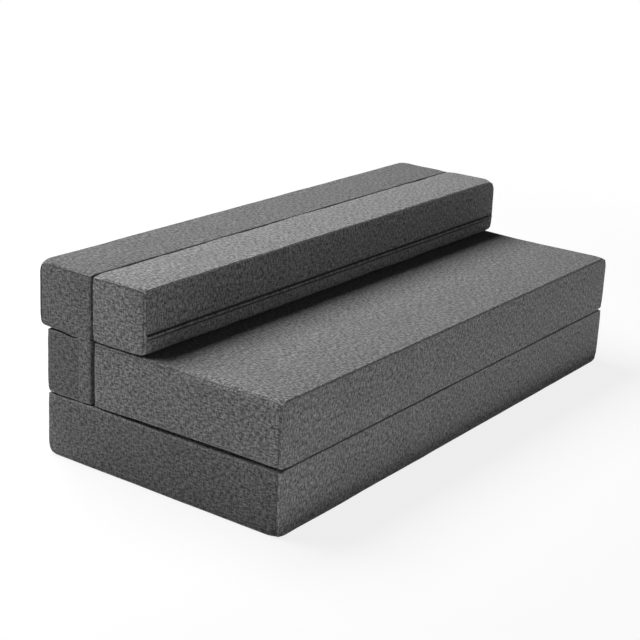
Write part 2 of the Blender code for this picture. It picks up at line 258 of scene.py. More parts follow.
def clothMaterial(name, tone=1.0, turn=0.0):
    made, tree, shader = nodeMaterial(name)
    place = node(tree, "ShaderNodeUVMap", uv_map="weave")

    def turned(source, angle):
        spin = node(tree, "ShaderNodeMapping", vector_type="POINT")
        spin.inputs["Rotation"].default_value[2] = math.radians(angle)
        join(tree, source, spin.inputs["Vector"])
        return spin.outputs["Vector"]

    uv = turned(place.outputs["UV"], turn)

    def pattern(label):
        length, width, detail, seed, angle = clothLook[label]
        size = node(tree, "ShaderNodeMapping", vector_type="POINT")
        size.inputs["Scale"].default_value = (1 / length, 1 / width, 1)
        size.inputs["Location"].default_value = (seed, seed * clothLook["seedShift"], 0)
        join(tree, turned(uv, angle) if angle else uv, size.inputs["Vector"])
        grain = node(tree, "ShaderNodeTexNoise", noise_dimensions="2D", Scale=1.0, Detail=detail,
                     Roughness=clothLook["noiseRoughness"])
        join(tree, size.outputs["Vector"], grain.inputs["Vector"])
        return grain.outputs["Fac"]

    def times(first, second):
        return mathNode(tree, "MULTIPLY", first, second)

    def plus(first, second):
        return mathNode(tree, "ADD", first, second)

    # heather: dark and light fibres in flecks that follow the two thread directions
    flecks = None
    for label, weight in clothLook["fleckShares"].items():
        part = times(pattern(label), weight)
        flecks = part if flecks is None else plus(flecks, part)
    share = ramp(tree, flecks, clothLook["fleckStops"])

    # plain weave: two crossed rows of threads
    waves = []
    for axis in ("X", "Y"):
        wave = node(tree, "ShaderNodeTexWave", wave_type="BANDS", bands_direction=axis, wave_profile="SIN")
        wave.inputs["Scale"].default_value = math.pi / (10 * clothLook["threadPitch"])
        join(tree, uv, wave.inputs["Vector"])
        waves.append(wave.outputs["Fac"])
    weave = times(waves[0], waves[1])

    colour = node(tree, "ShaderNodeMix", data_type="RGBA", blend_type="MIX")
    dark, light = clothLook["darkYarn"] * tone, clothLook["lightYarn"] * tone
    colour.inputs[6].default_value = (dark, dark, dark * clothLook["darkBlue"], 1)
    colour.inputs[7].default_value = (light, light, light * clothLook["lightBlue"], 1)
    join(tree, share, colour.inputs[0])

    seam = node(tree, "ShaderNodeAttribute", attribute_name="seam").outputs["Fac"]
    paintedHighlight = node(tree, "ShaderNodeAttribute", attribute_name="paintedHighlight").outputs["Fac"]
    cloudDepth, cloudBase = clothLook["cloudShade"]
    shade = plus(times(pattern("clouds"), cloudDepth), cloudBase)
    # painted shade along the seams, with the thread's own darkness, and a painted highlight on the roundings
    threadAndShade = mathNode(tree, "SUBTRACT", 1.0, times(seam, clothLook["seamThreadAndShade"]))
    lighter = plus(times(paintedHighlight, clothLook["paintedEdgeHighlight"]), 1.0)
    shade = times(times(shade, threadAndShade), lighter)
    shaded = node(tree, "ShaderNodeMix", data_type="RGBA", blend_type="MULTIPLY")
    shaded.inputs[0].default_value = 1.0
    join(tree, colour.outputs[2], shaded.inputs[6])
    join(tree, shade, shaded.inputs[7])
    join(tree, shaded.outputs[2], shader.inputs["Base Color"])

    # relief: slack creases, gathers at the seams, then flecks and threads
    gathers = times(times(pattern("gathers"), seam), clothLook["gatherRelief"])
    low = bumpNode(tree, plus(pattern("creases"), gathers), *clothLook["creaseBump"])
    height = plus(times(weave, clothLook["threadRelief"]), times(flecks, clothLook["fleckRelief"]))
    bump = bumpNode(tree, height, *clothLook["weaveBump"])
    join(tree, low.outputs["Normal"], bump.inputs["Normal"])
    join(tree, bump.outputs["Normal"], shader.inputs["Normal"])
    shader.inputs["Roughness"].default_value = clothLook["roughness"]
    shader.inputs["Specular IOR Level"].default_value = clothLook["specular"]
    shader.inputs["Sheen Weight"].default_value = clothLook["sheen"]
    shader.inputs["Sheen Roughness"].default_value = clothLook["sheenRoughness"]
    return made


# Tone of each block's cloth and end cloth: painted light and shade, lighter and darker copies of the one
# cloth, different for each block and for its ends
clothToneAndShade = {
    "base": (1.00, 0.68),
    "seat": (0.95, 0.98),
    "front_back": (1.05, 1.08),
    "riser": (0.80, 0.58),
    "rear_back": (0.68, 0.77),
}
hingeTone = 0.7
coverMaterials = {}
endMaterials = {}
for blockName, (coverTone, endTone) in clothToneAndShade.items():
    coverMaterials[blockName] = clothMaterial("linenWeave_" + blockName, coverTone)
    endMaterials[blockName] = clothMaterial("linenWeaveEnds_" + blockName, endTone, 90)
hingeMaterial = clothMaterial("linenWeaveHinge", hingeTone)

# Finishes of the small pieces: greys are linear, a bump is its strength and metres
threadFinish = {"ribScale": 900.0, "greys": (0.06, 0.11), "bump": (0.3, 0.0001),
                "roughness": 0.55, "sheen": 0.2}
tapeFinish = {"ribScale": 420.0, "greys": (0.016, 0.035), "bump": (0.4, 0.0002),
              "roughness": 0.8, "sheen": 0}
foamFinish = {"cellScale": 650.0, "patchScale": 14.0, "patchDetail": 3.0, "dull": (0.74, 0.70, 0.58, 1),
              "pale": (0.84, 0.81, 0.72, 1), "bump": (0.6, 0.0006), "roughness": 0.95}
sliderFinish = {"wearScale": 420.0, "wearDetail": 4.0, "greys": ((0.3, 0.10), (0.7, 0.17)),
                "roughness": ((0.3, 0.28), (0.7, 0.45)), "metallic": 1.0}


def ribbedMaterial(name, finish):
    made, tree, shader = nodeMaterial(name)
    place = node(tree, "ShaderNodeTexCoord")
    ribs = node(tree, "ShaderNodeTexWave", wave_type="BANDS", bands_direction="DIAGONAL",
                Scale=finish["ribScale"])
    join(tree, place.outputs["Object"], ribs.inputs["Vector"])
    darkGrey, lightGrey = finish["greys"]
    tint = ramp(tree, ribs.outputs["Fac"], [(0.0, darkGrey), (1.0, lightGrey)])
    join(tree, tint, shader.inputs["Base Color"])
    bump = bumpNode(tree, ribs.outputs["Fac"], *finish["bump"])
    join(tree, bump.outputs["Normal"], shader.inputs["Normal"])
    shader.inputs["Roughness"].default_value = finish["roughness"]
    shader.inputs["Sheen Weight"].default_value = finish["sheen"]
    return made


def foamMaterial(name, finish):
    made, tree, shader = nodeMaterial(name)
    place = node(tree, "ShaderNodeTexCoord")
    cells = node(tree, "ShaderNodeTexVoronoi", Scale=finish["cellScale"])
    patches = node(tree, "ShaderNodeTexNoise", Scale=finish["patchScale"], Detail=finish["patchDetail"])
    for texture in (cells, patches):
        join(tree, place.outputs["Object"], texture.inputs["Vector"])
    colour = node(tree, "ShaderNodeMix", data_type="RGBA")
    colour.inputs[6].default_value = finish["dull"]
    colour.inputs[7].default_value = finish["pale"]
    join(tree, patches.outputs["Fac"], colour.inputs[0])
    join(tree, colour.outputs[2], shader.inputs["Base Color"])
    bump = bumpNode(tree, cells.outputs["Distance"], *finish["bump"])
    join(tree, bump.outputs["Normal"], shader.inputs["Normal"])
    shader.inputs["Roughness"].default_value = finish["roughness"]
    return made


def sliderMaterial(name, finish):
    made, tree, shader = nodeMaterial(name)
    place = node(tree, "ShaderNodeTexCoord")
    wear = node(tree, "ShaderNodeTexNoise", Scale=finish["wearScale"], Detail=finish["wearDetail"])
    join(tree, place.outputs["Object"], wear.inputs["Vector"])
    join(tree, ramp(tree, wear.outputs["Fac"], finish["greys"]), shader.inputs["Base Color"])
    join(tree, ramp(tree, wear.outputs["Fac"], finish["roughness"]), shader.inputs["Roughness"])
    shader.inputs["Metallic"].default_value = finish["metallic"]
    return made


threadLook = ribbedMaterial("polyesterThread", threadFinish)
foamLook = foamMaterial("openCellFoam", foamFinish)
tapeLook = ribbedMaterial("zipTapeTwill", tapeFinish)
sliderLook = sliderMaterial("darkPlatedMetal", sliderFinish)
print("materials ready")

# Covers: a box is cut into a grid, its edges are rounded, and its faces are drawn in and filled.
# Metres: radii of the long edges, then of the edges round each end (rear and front value for top and bottom).
# topReach: how much wider the end's rounding is on the top face. pull: share of the corners' drawing in.
# swell: how much fuller the rear is, to the rear and upwards. ring: how dark the seam round each end is
# painted, the shade of its groove with the thread's own darkness.
# seams: long edges with a seam. touching: faces that rest on another block. gape: how far faces part at the
# ends. settled: share of the drawing in that the underside keeps. wavy: unevenness of rear and front edges.
coverShape = {
    "base": {"frontTop": 0.0025, "rearTop": 0.006, "frontBottom": 0.0035, "rearBottom": 0.014,
             "endTop": (0.004, 0.013), "endBottom": (0.009, 0.008), "endFront": 0.006, "endRear": 0.010,
             "topReach": 1.0, "pull": 1.0, "swell": (0, 0), "seams": ("frontTop",), "ring": 0.6,
             "touching": ("Top",), "gape": {"Top": 0.0034}, "settled": 0.15, "wavy": (1.0, 1.0)},
    "seat": {"frontTop": 0.010, "rearTop": 0.005, "frontBottom": 0.0025, "rearBottom": 0.005,
             "endTop": (0.005, 0.017), "endBottom": (0.004, 0.012), "endFront": 0.006, "endRear": 0.012,
             "topReach": 1.8, "pull": 1.4, "swell": (0, 0), "seams": ("frontTop", "frontBottom"), "ring": 0.6,
             "touching": ("Bottom", "rear"), "gape": {"Bottom": 0.0036, "rear": 0.0026},
             "settled": 1.0, "wavy": (1.0, 1.0)},
    "front_back": {"frontTop": 0.008, "rearTop": 0.0056, "frontBottom": 0.017, "rearBottom": 0.004,
                   "endTop": (0.012, 0.014), "endBottom": (0.004, 0.007), "endFront": 0.006, "endRear": 0.0050,
                   "topReach": 1.2, "pull": 2.2, "swell": (0, 0), "seams": ("frontTop",), "ring": 1.0,
                   "touching": ("Bottom", "rear"), "gape": {"rear": 0.0011},
                   "settled": 1.0, "wavy": (2.2, 3.2)},
    "riser": {"frontTop": 0.002, "rearTop": 0.006, "frontBottom": 0.002, "rearBottom": 0.014,
              "endTop": (0.003, 0.003), "endBottom": (0.004, 0.004), "endFront": 0.0012, "endRear": 0.009,
              "topReach": 1.0, "pull": 1.0, "swell": (0, 0), "seams": (), "ring": 0.5,
              "touching": ("Bottom", "Top", "front"), "gape": {"front": 0.0008, "Top": 0.0030},
              "settled": 1.0, "wavy": (1.0, 1.0)},
    "rear_back": {"frontTop": 0.0054, "rearTop": 0.016, "frontBottom": 0.003, "rearBottom": 0.014,
                  "endTop": (0.015, 0.012), "endBottom": (0.005, 0.002), "endFront": 0.0046, "endRear": 0.007,
                  "topReach": 1.2, "pull": 1.6, "swell": (0.004, 0.005), "seams": (), "ring": 1.0,
                  "touching": ("Bottom", "front"), "gape": {"front": 0.0011, "Bottom": 0.0030},
                  "settled": 1.0, "wavy": (1.0, 1.6)},
}
coverBuild = {
    "halfLength": 0.9,
    # where the box is cut, from each side
    "cuts": (0.0012, 0.0028, 0.0048, 0.0063, 0.0075, 0.0087, 0.012, 0.017, 0.024, 0.033, 0.043, 0.054, 0.066),
    "cellAlong": 0.014,
    "cellAcross": 0.018,
    "wholeRun": 0.98,  # an edge longer than this share of the middle isn't divided yet
    "wall": 0.0010,
    "smoothAngle": 70,
    "fill": 0.95,
    "leastRadius": (0.35, 0.001),  # of a long edge inside the end panel: share of the radius, metres
    "endTopChange": (0.09, 0.2),  # Y from which the top's end edge changes, and the run it takes
    "draw": (0.0013, 0.0008, 0.0012),  # how far the faces draw in at their edges, along X, Y and Z
    "drawBand": 0.075,
    "drawBandEnds": 1.3,  # how much wider the band is towards the ends
    "touchDraw": 0.3,  # share of the drawing in where a face rests against another block
    "zipDraw": 0.35,  # and beside a zip
    "zipHeight": 0.056,  # of the zip over the underside
    "zipBand": 0.02,
    "edgeBand": 0.03,  # reach of what is done near an edge
    "faceBand": 0.06,  # reach of what is done over a face
    "closeUp": 0.0003,  # how far the backs' upright faces bulge towards each other
    "lean": 0.0002,  # how far the two backs lean together at their tops
    "cornerPull": (0.0030, 0.0020, 0.0030),  # how far the corners draw in, along X, Y and Z
    "cornerReach": 0.036,
    "touchPull": 0.3,  # share of it where a corner touches a block
    "gapeReach": 0.05,  # how far from the ends the blocks part
    "gapeBeforeTab": (0.22, 0.16),  # Y where they begin to part before the tab, and its run
    "gapeAtFront": (-0.22, 0.18, 0.55),  # where they close again, its run and share
    "gapeBehindTab": 0.5,
    "tabReach": 0.272,  # Y up to which the riser's tab keeps the edges crisp
    "tabFade": 0.014,
    "tabEdge": 0.0012,  # radius of those edges
    "tabDip": 0.0060,  # how far the tab pulls the edges down beside it
    "dipPlace": 0.288,  # Y of the deepest point, and the runs before and behind it
    "dipRuns": (0.012, 0.06),
    "dipReach": 0.04,
    "unevenFace": 0.0009,
    "unevenEdge": 0.0009,
    "unevenMean": 0.5,
    "faceShare": 0.8,
    "zipShare": 0.5,  # of the unevenness on the face with the zip
    "faceWaves": ((6.5, 0.7), (19, 0.3)),  # waves per metre, roughly, and share
    "edgeWaves": ((5.5, 1.0), (16, 0.4)),
    "edgeRows": (3, 5),  # keep the four long edges' noise apart
    "blockStep": 7.3,  # and the blocks'
    "edgeReach": 0.05,
    "endSeam": 0.0075,  # distance of the end panel's seam from the outline
    "hiddenSeam": 0.85,  # share of the groove that is lost against another block
    "grooveDepth": 0.0016,
    "grooveWidth": 0.0032,
    "grooveSharp": 1.5,
    "seamFacing": 0.5,
}


def gridBlock(name):
    low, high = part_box(name + "_sleeve")
    low.x, high.x = -coverBuild["halfLength"], coverBuild["halfLength"]
    cover = addCube(name + "_cover", low, high)
    openMesh(cover, "EDGE")
    for axis in range(3):
        normal = Vector((0, 0, 0))
        normal[axis] = 1
        for distance in coverBuild["cuts"]:
            for place in (low[axis] + distance, high[axis] - distance):
                plane = Vector((0, 0, 0))
                plane[axis] = place
                bpy.ops.mesh.select_all(action="SELECT")
                bpy.ops.mesh.bisect(plane_co=plane, plane_no=normal)
        run = high[axis] - low[axis] - 2 * coverBuild["cuts"][-1]
        cell = coverBuild["cellAlong" if axis == 0 else "cellAcross"]
        whole = run * coverBuild["wholeRun"]
        pick(cover, "edges", lambda edge: alongAxis(edge, axis) and edge.calc_length() > whole)
        bpy.ops.mesh.subdivide(number_cuts=max(1, round(run / cell) - 1))
    closeMesh()
    return cover, low, high


def cornerRadius(radius, inset):
    share, least = coverBuild["leastRadius"]
    return max(radius - inset, radius * share, least)


# Moves a point of the box onto the soft form; returns its place, how much it lies on a seam, and how much on a
# rounding, where a highlight is painted
def softPoint(point, name, low, high):
    shape, build = coverShape[name], coverBuild
    half = (high - low) / 2
    local = point - (low + high) / 2
    sign = Vector([1 if value >= 0 else -1 for value in local])
    away = Vector([half[axis] - abs(local[axis]) for axis in range(3)])  # distance from each side
    onEnd = away.x < onPlane
    inset = min(away.y, away.z) if onEnd else 0.0
    side = "front" if sign.y < 0 else "rear"
    height = "Top" if sign.z > 0 else "Bottom"
    sideTouches, heightTouches = side in shape["touching"], height in shape["touching"]
    zipped = sign.y == zipSide[name]
    radius = shape[side + height]

    # place along the outline: the part of the way round the corner, and the outline's own normal
    onSide = away.y <= away.z
    along = (away.z if onSide else away.y) - inset
    cornerHere = cornerRadius(radius, inset)
    inCorner = along < cornerHere
    turn = (1 - along / cornerHere) * math.pi / 4 if inCorner else 0.0
    normalY, normalZ = (math.cos(turn), math.sin(turn)) if onSide else (math.sin(turn), math.cos(turn))

    # rounding of the edge round the end
    endSide = shape["endFront" if sign.y < 0 else "endRear"]
    rearValue, frontValue = shape["endTop" if sign.z > 0 else "endBottom"]
    changeFrom, changeRun = build["endTopChange"] if sign.z > 0 else (high.y, high.y - low.y)
    endFlat = rearValue + (frontValue - rearValue) * ease((changeFrom - point.y) / changeRun)
    tabbed = (name == "riser" and sign.z > 0) or (name == "rear_back" and sign.z < 0)
    tabMask = 1 - ease((point.y - build["tabReach"]) / build["tabFade"]) if tabbed else 0.0
    endFlat += (build["tabEdge"] - endFlat) * tabMask
    rounding = endSide * normalY ** 2 + endFlat * normalZ ** 2
    reach = rounding * (1 + (shape["topReach"] - 1) * normalZ ** 2 * (sign.z > 0))
    if onEnd:
        lean = max(0.0, (rounding - inset) / rounding)
        outX, outN = 1.0, lean  # how much the normal points out of the end, and out of the long sides
    else:
        lean = max(0.0, (reach - away.x) / reach)
        outX, outN = lean, 1.0
    size = math.hypot(outX, outN)
    outX, outN = outX / size, outN / size
    if lean > 0:
        newInset, newX = rounding * (1 - outN), half.x - reach * (1 - outX)
    elif onEnd:
        newInset, newX = inset, half.x
    else:
        newInset, newX = 0.0, half.x - away.x
    corner = cornerRadius(radius, newInset)
    newY, newZ = abs(local.y), abs(local.z)
    if inCorner:
        newY = half.y - newInset - corner * (1 - normalY)
        newZ = half.z - newInset - corner * (1 - normalZ)
    elif onSide:
        newY = half.y - newInset
    else:
        newZ = half.z - newInset

    # faces draw in towards their edges, less where they touch a neighbour and beside the zip
    drawX, drawY, drawZ = build["draw"]
    band, edgeBand, faceBand = build["drawBand"], build["edgeBand"], build["faceBand"]
    drawY *= build["touchDraw"] if sideTouches else 1.0
    drawZ *= build["touchDraw"] if heightTouches else 1.0
    drawZ *= shape["settled"] if height == "Bottom" else 1.0
    if zipped:
        fromZip = abs(point.z - low.z - build["zipHeight"])
        byZip = 1 - ease((fromZip - build["zipBand"]) / edgeBand)
        drawY *= 1 - (1 - build["zipDraw"]) * byZip
    if onEnd:
        filled = ease(away.y / band) * ease(away.z / band)
        newX -= drawX * (1 - filled)
        fade = 1 - ease(inset / edgeBand)
        newY -= drawY * normalY * fade
        newZ -= drawZ * normalZ * fade
    else:
        filled = ease(away.x / (band * build["drawBandEnds"])) * ease((away.z if onSide else away.y) / band)
        newY -= drawY * (1 - filled) * normalY
        newZ -= drawZ * (1 - filled) * normalZ
        newX -= drawX * (1 - ease(away.x / edgeBand))
        fade = 1.0
    if sideTouches and name in backNames:
        newY += build["closeUp"] * fade * (1 - ease(away.y / edgeBand))
    pulled = (1 - ease(away.length / build["cornerReach"])) * (1 - tabMask)
    pulled *= build["touchPull"] if sideTouches or heightTouches else 1.0
    pullX, pullY, pullZ = (pull * pulled * shape["pull"] for pull in build["cornerPull"])
    newX -= pullX
    newY -= pullY
    newZ -= pullZ

    # the blocks part a little at their ends
    atEnd = 1 - ease(away.x / build["gapeReach"])
    newY -= shape["gape"].get(side, 0.0) * atEnd * (1 - ease(away.y / faceBand))
    partFrom, partRun = build["gapeBeforeTab"]
    closeFrom, closeRun, closeShare = build["gapeAtFront"]
    beforeTab = ease((partFrom - point.y) / partRun)
    beforeTab *= 1 - closeShare * ease((closeFrom - point.y) / closeRun)
    behindTab = build["gapeBehindTab"] * ease((point.y - build["tabReach"]) / edgeBand)
    newZ -= shape["gape"].get(height, 0.0) * atEnd * (1 - ease(away.z / faceBand)) * (beforeTab + behindTab)

    # one block is stuffed more towards its rear
    behind = max(0.0, local.y / half.y) ** 2
    newY += shape["swell"][0] * behind * (1 - ease(away.y / faceBand))
    newZ += shape["swell"][1] * behind * (1 - ease(away.z / faceBand)) * (sign.z > 0)

    place = Vector((newX * sign.x, newY * sign.y, newZ * sign.z)) + (low + high) / 2
    normal = Vector((outX * sign.x, outN * normalY * sign.y, outN * normalZ * sign.z))

    # slow unevenness, always inwards, and edges that aren't quite straight
    seed = Vector((blockNames.index(name) * build["blockStep"], 0, 0))
    slow = sum(noise.noise(point * pitch + seed) * share for pitch, share in build["faceWaves"])
    calm = build["zipShare"] if zipped and onSide and not onEnd else 1.0
    place -= normal * build["unevenFace"] * max(0.0, build["unevenMean"] + slow) * build["faceShare"] * calm
    if not onEnd:
        nearEdge = 1 - ease((away.y + away.z) / build["edgeReach"])
        rowY, rowZ = build["edgeRows"]
        wander = sum(noise.noise(Vector((point.x * pitch, sign.y * rowY, sign.z * rowZ)) + seed) * share
                     for pitch, share in build["edgeWaves"])
        amount = build["unevenEdge"] * shape["wavy"][1 if sign.y < 0 else 0]
        place -= normal * amount * max(0.0, build["unevenMean"] + wander) * nearEdge

    if tabbed:
        past = point.y - build["dipPlace"]
        beforeRun, behindRun = build["dipRuns"]
        beside = 1 - past / behindRun if past > 0 else 1 + past / beforeRun
        near = (1 - ease(away.x / build["dipReach"])) * (1 - ease(away.z / edgeBand))
        place.z -= build["tabDip"] * ease(beside) * near

    # seams: round each end panel and along some long edges
    width = build["grooveWidth"]
    seam, groove = 0.0, 0.0
    if onEnd:
        hidden = max(normalY ** 2 * sideTouches, normalZ ** 2 * heightTouches)
        groove = max(0.0, 1 - abs(inset - build["endSeam"]) / width)
        groove *= 1 - tabMask
        groove *= 1 - build["hiddenSeam"] * hidden
        # the ring seam is painted darker: shade of its groove, with the thread's own darkness
        seam = groove * shape["ring"]
    if side + height in shape["seams"] and outN > build["seamFacing"]:
        groove = max(groove, 1 - (away.y + away.z) / width)
        seam = max(seam, groove)
    place -= normal * build["grooveDepth"] * groove ** build["grooveSharp"]
    paintedHighlight = max(4 * (outX * outN) ** 2, 4 * (normalY * normalZ) ** 2 * outN)  # painted highlight: 1 in the middle of a rounding

    # the backs lean together at their tops
    if name in backNames:
        share = (point.z - low.z) / (high.z - low.z)
        place.y += build["lean"] * share * (1 if name == "front_back" else -1)
    return place, seam, paintedHighlight


# The end panels' faces lie inside the seam round each end
def markEnds(cover, name, low, high):
    cover.data.materials.append(coverMaterials[name])
    cover.data.materials.append(endMaterials[name])
    inset = coverBuild["endSeam"]
    for face in cover.data.polygons:
        centre = face.center
        inside = all(low[axis] + inset < centre[axis] < high[axis] - inset for axis in (1, 2))
        atEnd = min(high.x - centre.x, centre.x - low.x) < onPlane
        face.material_index = 1 if atEnd and inside else 0


def shapeCover(cover, name, low, high):
    seams, edges = [], []
    for vertex in cover.data.vertices:
        vertex.co, seam, paintedHighlight = softPoint(vertex.co.copy(), name, low, high)
        seams.append(seam)
        edges.append(paintedHighlight)
    addAttributes(cover, seams, edges)


covers = {}
for blockName in blockNames:
    cover, low, high = gridBlock(blockName)
    markEnds(cover, blockName, low, high)
    shapeCover(cover, blockName, low, high)
    covers[blockName] = cover
print("covers shaped:", {name: len(cover.data.polygons) for name, cover in covers.items()})

# Foam blocks: each a little smaller than its CAD core, with the groove that the zip lies in
foam = {
    "inset": 0.0080,
    "rounding": 0.014,
    "roundingSteps": 3,
    "grooveHalf": 0.019,
    "grooveDepth": 0.0075,
    "grooveLip": 0.0012,
    "facing": 0.99,
    "smoothAngle": 35,
}


def addFoam(name):
    low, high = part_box(name + "_core")
    inset = Vector((foam["inset"],) * 3)
    block = addCube(name + "_foam", low + inset, high - inset)
    rounding = block.modifiers.new("rounding", "BEVEL")
    rounding.width = foam["rounding"]
    rounding.segments = foam["roundingSteps"]
    applyModifiers(block)
    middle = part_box(name + "_zip_flap")[1].z
    openMesh(block)
    for level in (middle - foam["grooveHalf"], middle + foam["grooveHalf"]):
        bpy.ops.mesh.select_all(action="SELECT")
        cutLevel(level)
    pick(block, "faces", lambda face: face.normal.y * zipSide[name] > foam["facing"]
         and abs(face.calc_center_median().z - middle) < foam["grooveHalf"])
    bpy.ops.mesh.inset(thickness=foam["grooveLip"], depth=-foam["grooveDepth"])
    closeMesh()
    block.data.materials.append(foamLook)
    smooth(block, foam["smoothAngle"])
    return block


for blockName in blockNames:
    block = addFoam(blockName)
    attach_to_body(block, blockName)
    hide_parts(blockName + "_core")
print("foam blocks cut")

# Zip openings: a slot in the cover, a flap of the same cloth and two rows of stitches
placket = {
    "opening": 0.0060,  # height of the slot above the flap
    "slotUnder": 0.009,  # how far it goes on under the flap's fold
    "reach": 0.8915,  # how far the slot runs to each end
    "facing": 0.8,
    "margin": 0.03,  # band of the cover that is cut finer round the slot
    "marginLow": 0.004,
    "marginHigh": 0.008,
    "lipOut": 0.0009,  # how far the cloth over the slot stands out
    # rows of that cloth: height over the slot and share of lipOut
    "lipRows": ((0.0, -0.6), (0.0008, 0.7), (0.002, 1.0), (0.004, 0.5)),
    "rowSlack": 0.001,
    "flapHeight": 0.0125,
    "flapThickness": 0.0016,
    "flapGap": 0.0006,  # between the flap and the ends of the slot
    "flapPieces": 150,
    # distance under the flap's folded edge and how far the cloth stands out there
    "flapProfile": ((0.0, 0.0006), (0.0005, 0.0022), (0.0015, 0.0032), (0.0032, 0.0036), (0.0052, 0.0030),
                    (0.0070, 0.0017), (0.0085, -0.0011), (0.0098, 0.0013), (0.0110, 0.0012), (0.0125, 0.0002)),
    # lines painted along the flap: a highlight on its folded edge, and shade in the groove of the lower
    # stitches with the thread's own darkness; strength, distance under the folded edge, half width
    "paintedHighlightLine": (2.6, 0.0022, 0.0045),
    "threadAndShadeLine": (1.6, 0.0085, 0.0060),
    # share of the relief that each zip has: those that another block meets when unfolded lie nearly flat
    "relief": {"base": 0.1, "seat": 0.0, "front_back": 1.0, "riser": 0.1, "rear_back": 1.0},
    # and how deep their flap and stitches lie in the cloth
    "sunk": {"base": 0.0001, "seat": 0.0005, "front_back": 0.0, "riser": 0.0001, "rear_back": 0.0},
    "waves": 0.0008,
    "waveOut": (24, 60, 4, 0.5),  # waves outwards: pitch along X and Z, seed, share
    "waveUp": (9, 9),  # and upwards: pitch along X, seed
    "stitchLength": 0.0032,
    "stitchPitch": 0.0044,
    "stitchRadius": 0.0003,
    "stitchSides": 6,
    "stitchMargin": 0.006,
    "stitchBow": 1.6,  # how far a stitch's ends dip into the cloth, in radii
    "stitchCuts": 2,
    "stitchEnd": 0.9,
    "stitchUnderLip": 0.0085,
    "stitchOverSlot": 0.0034,
    "stitchBed": (-0.0002, 0.9, -0.0001),  # lower row's place, then the upper's: share of the lip, metres
    "probes": 160,  # places at which the cover's surface is measured
    "probeHeight": 0.02,
}


def zipPlace(name):
    low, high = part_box(name + "_zip_flap")
    side = zipSide[name]
    return high.z, side, high.y if side > 0 else low.y


def surfaceProfile(cover, name):
    lip, side, plane = zipPlace(name)
    reach, probes = placket["reach"], placket["probes"]
    places = [-reach + 2 * reach * step / probes for step in range(probes + 1)]
    offsets = []
    for place in places:
        start = Vector((place, side * rayStart, lip + placket["probeHeight"]))
        offsets.append(cover.ray_cast(start, Vector((0, -side, 0)))[1].y - plane)
    return places, offsets


# Lays a piece along the cover's measured surface
def follow(obj, profile):
    places, offsets = profile
    step = places[1] - places[0]
    last = len(places) - 1.001  # just short of the last place
    for vertex in obj.data.vertices:
        at = min(max((vertex.co.x - places[0]) / step, 0.0), last)
        whole = int(at)
        share = at - whole
        vertex.co.y += offsets[whole] * (1 - share) + offsets[whole + 1] * share


def cutSlot(cover, name):
    lip, side, _ = zipPlace(name)
    bottom, top, reach = lip - placket["slotUnder"], lip + placket["opening"], placket["reach"]
    lipOut = placket["lipOut"] * placket["relief"][name]
    openMesh(cover, "FACE")

    def near(face, margin=placket["margin"]):
        centre = face.calc_center_median()
        return face.normal.y * side > placket["facing"] and bottom - margin < centre.z < top + margin

    levels = [bottom - placket["marginLow"], bottom]
    levels += [top + over for over, _ in placket["lipRows"]] + [top + placket["marginHigh"]]
    for level in levels:
        pick(cover, "faces", near)
        cutLevel(level)
    for end in (-reach, reach):
        pick(cover, "faces", lambda face: near(face, 0.0))
        bpy.ops.mesh.bisect(plane_co=(end, 0, 0), plane_no=(1, 0, 0))
    bpy.ops.mesh.select_mode(type="VERT")
    for over, out in placket["lipRows"]:
        pick(cover, "verts", lambda vert: vert.normal.y * side > placket["facing"]
             and abs(vert.co.x) < reach + placket["rowSlack"] and abs(vert.co.z - top - over) < onPlane)
        bpy.ops.transform.translate(value=(0, side * lipOut * out, 0))
    bpy.ops.mesh.select_mode(type="FACE")
    pick(cover, "faces", lambda face: near(face, 0.0) and abs(face.calc_center_median().x) < reach)
    bpy.ops.mesh.delete(type="FACE")
    closeMesh()


def addFlap(name, profile):
    lip, side, plane = zipPlace(name)
    back = plane - side * placket["flapThickness"]
    reach = placket["reach"] - placket["flapGap"]
    relief, sunk = placket["relief"][name], placket["sunk"][name]
    flap = addCube(name + "_flap", (-reach, min(plane, back), lip - placket["flapHeight"]),
                   (reach, max(plane, back), lip))
    openMesh(flap, "EDGE")
    for under, _ in placket["flapProfile"][1:-1]:
        bpy.ops.mesh.select_all(action="SELECT")
        cutLevel(lip - under)
    pick(flap, "edges", lambda edge: alongAxis(edge, 0))
    bpy.ops.mesh.subdivide(number_cuts=placket["flapPieces"])
    bpy.ops.mesh.select_mode(type="VERT")
    for under, out in placket["flapProfile"]:
        pick(flap, "verts", lambda vert: abs(vert.co.z - lip + under) < onPlane
             and (vert.co.y - back) * side > onPlane)
        bpy.ops.transform.translate(value=(0, side * (out * relief - sunk), 0))
    closeMesh()
    depths = [lip - vertex.co.z for vertex in flap.data.vertices]
    pitchX, pitchZ, outSeed, outShare = placket["waveOut"]
    pitchUp, upSeed = placket["waveUp"]
    for vertex in flap.data.vertices:
        shake = noise.noise(Vector((vertex.co.x * pitchX, vertex.co.z * pitchZ, outSeed)))
        vertex.co.y += side * placket["waves"] * shake * outShare * relief
        vertex.co.z += placket["waves"] * noise.noise(Vector((vertex.co.x * pitchUp, 0, upSeed)))

    def line(strength, place, half):
        return [strength * max(0.0, 1 - abs(depth - place) / half) for depth in depths]

    # painted shade, with the thread's darkness, along the stitched groove; painted highlight along the folded
    # edge
    addAttributes(flap, line(*placket["threadAndShadeLine"]), line(*placket["paintedHighlightLine"]))
    follow(flap, profile)
    flap.data.materials.append(coverMaterials[name])
    return flap


